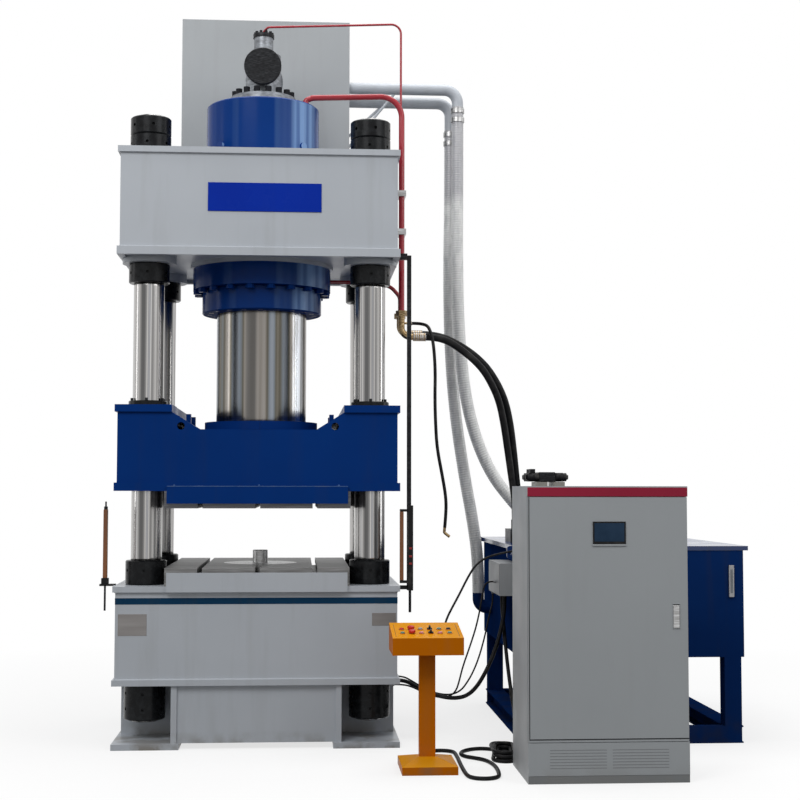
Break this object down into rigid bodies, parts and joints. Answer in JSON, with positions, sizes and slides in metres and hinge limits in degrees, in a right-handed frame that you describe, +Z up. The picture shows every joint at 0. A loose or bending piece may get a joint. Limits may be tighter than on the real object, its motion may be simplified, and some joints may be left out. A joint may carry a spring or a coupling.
{
  "type": "hydraulic press",
  "caption": "Column-type hydraulic press with oil power unit, electrical cabinet and push-button pedestal, joined by hoses and cables.",
  "frame": {"origin": "centre of the whole machine on the floor, hoses and cables left out", "axes": "+Z up from the floor, +Y from the front, where the operator stands, to the back, +X from the press to its power unit"},
  "size_m": [3.8, 2.863, 4.61],
  "materials": {
    "press_paint": "satin light grey enamel",
    "blue_paint": "gloss royal blue enamel",
    "chrome": "polished hard chrome",
    "bare_steel": "machined bare steel",
    "black_steel": "black oxide",
    "tank_paint": "satin pale grey enamel",
    "red_paint": "gloss red enamel",
    "brass": "turned brass",
    "guard_paint": "bronze anodised look",
    "navy_paint": "gloss navy enamel",
    "motor_paint": "satin blue grey enamel",
    "pump_iron": "bare cast iron",
    "cabinet_paint": "fine textured light grey powder coat",
    "box_paint": "grey enamel",
    "pedestal_paint": "orange yellow powder coat",
    "black_rubber": "matt black sheath",
    "hose_white": "ribbed milky hose",
    "black_plastic": "moulded black",
    "red_plastic": "gloss red",
    "green_plastic": "gloss grey green",
    "grey_plastic": "gloss grey",
    "pink_plastic": "gloss pink",
    "gear_plastic": "moulded grey"
  },
  "bodies": {
    "press": {"base_cable": "black_rubber", "base_frame": "press_paint", "black_hose_back": "black_rubber", "black_hose_front": "black_rubber", "cabinet_case": "cabinet_paint", "cable_hank": "black_rubber", "column_nuts": "black_steel", "columns": "chrome", "control_gear": "gear_plastic", "crown_beam": "press_paint", "cylinder_barrel": "blue_paint", "cylinder_screws": "black_steel", "ejector_cylinder": "press_paint", "floor_cable": "black_rubber", "gland_ring": "blue_paint", "hose_fittings": "brass", "line_clamps": "bare_steel", "oil_lines": "red_paint", "oil_pump": "pump_iron", "oil_tank": "navy_paint", "pedestal_cable": "black_rubber", "pedestal_desk": "pedestal_paint", "pedestal_stand": "pedestal_paint", "prefill_tank": "tank_paint", "prefill_valve": "bare_steel", "pump_motor": "motor_paint", "return_pipes": "tank_paint", "sensor_cable_a": "black_rubber", "sensor_cable_b": "black_rubber", "side_guards": "guard_paint", "table_centre_disc": "bare_steel", "table_plate": "press_paint", "tank_lid": "navy_paint", "terminal_box": "box_paint", "thin_hose": "black_rubber", "valve_blanks": "black_steel", "valve_manifold": "bare_steel", "white_hose_left": "hose_white", "white_hose_right": "hose_white"},
    "press_slide": {"ram": "chrome", "ram_flange": "blue_paint", "slide_screws": "black_steel", "slide_body": "blue_paint", "slide_die_plate": "bare_steel", "guide_bushes": "black_steel"},
    "ejector": {"ejector_pin": "bare_steel"},
    "door": {"cabinet_door": "cabinet_paint"},
    "handle": {"door_handle": "black_plastic"},
    "red_button_body": {"red_button": "red_plastic"},
    "stop_button_body": {"stop_button": "red_plastic"},
    "grey_button_body": {"grey_button": "grey_plastic"},
    "green_button_body": {"green_button": "green_plastic"},
    "black_button_body": {"black_button": "black_plastic"},
    "ready_button_body": {"ready_button": "green_plastic"},
    "press_button_body": {"press_button": "red_plastic"},
    "pink_button_body": {"pink_button": "pink_plastic"},
    "raise_button_body": {"raise_button": "pink_plastic"},
    "start_button_body": {"start_button": "green_plastic"},
    "mode_selector_body": {"mode_selector": "black_plastic"},
    "speed_selector_body": {"speed_selector": "black_plastic"}
  },
  "joints": [
    {"name": "press_stroke", "type": "slide", "parent": "press", "child": "press_slide", "axis": [0, 0, 1], "range_m": [-0.2, 0.6]},
    {"name": "ejector_stroke", "type": "slide", "parent": "press", "child": "ejector", "axis": [0, 0, 1], "range_m": [-0.08, 0.05]},
    {"name": "door_swing", "type": "hinge", "parent": "press", "child": "door", "pos_m": [0.421, -1.421, 0.7], "axis": [0, 0, -1], "range_deg": [0, 110]},
    {"name": "handle_lift", "type": "hinge", "parent": "door", "child": "handle", "pos_m": [1.1765, -1.4215, 0.89], "axis": [-1, 0, 0], "range_deg": [0, 75]},
    {"name": "red_button_press", "type": "slide", "parent": "press", "child": "red_button_body", "axis": [0, -0.1604, 0.9871], "range_m": [-0.004, 0], "stiffness_N_per_m": 800},
    {"name": "stop_button_press", "type": "slide", "parent": "press", "child": "stop_button_body", "axis": [0, -0.1604, 0.9871], "range_m": [-0.004, 0], "stiffness_N_per_m": 800},
    {"name": "grey_button_press", "type": "slide", "parent": "press", "child": "grey_button_body", "axis": [0, -0.1604, 0.9871], "range_m": [-0.004, 0], "stiffness_N_per_m": 800},
    {"name": "mode_selector_turn", "type": "hinge", "parent": "press", "child": "mode_selector_body", "pos_m": [-0.048, -0.97378, 0.73423], "axis": [0, -0.1604, 0.9871], "range_deg": [-45, 45]},
    {"name": "green_button_press", "type": "slide", "parent": "press", "child": "green_button_body", "axis": [0, -0.1604, 0.9871], "range_m": [-0.004, 0], "stiffness_N_per_m": 800},
    {"name": "black_button_press", "type": "slide", "parent": "press", "child": "black_button_body", "axis": [0, -0.1604, 0.9871], "range_m": [-0.004, 0], "stiffness_N_per_m": 800},
    {"name": "ready_button_press", "type": "slide", "parent": "press", "child": "ready_button_body", "axis": [0, -0.1604, 0.9871], "range_m": [-0.004, 0], "stiffness_N_per_m": 800},
    {"name": "press_button_press", "type": "slide", "parent": "press", "child": "press_button_body", "axis": [0, -0.1604, 0.9871], "range_m": [-0.004, 0], "stiffness_N_per_m": 800},
    {"name": "pink_button_press", "type": "slide", "parent": "press", "child": "pink_button_body", "axis": [0, -0.1604, 0.9871], "range_m": [-0.004, 0], "stiffness_N_per_m": 800},
    {"name": "speed_selector_turn", "type": "hinge", "parent": "press", "child": "speed_selector_body", "pos_m": [-0.048, -1.05274, 0.7214], "axis": [0, -0.1604, 0.9871], "range_deg": [-45, 45]},
    {"name": "raise_button_press", "type": "slide", "parent": "press", "child": "raise_button_body", "axis": [0, -0.1604, 0.9871], "range_m": [-0.004, 0], "stiffness_N_per_m": 800},
    {"name": "start_button_press", "type": "slide", "parent": "press", "child": "start_button_body", "axis": [0, -0.1604, 0.9871], "range_m": [-0.004, 0], "stiffness_N_per_m": 800}
  ]
}
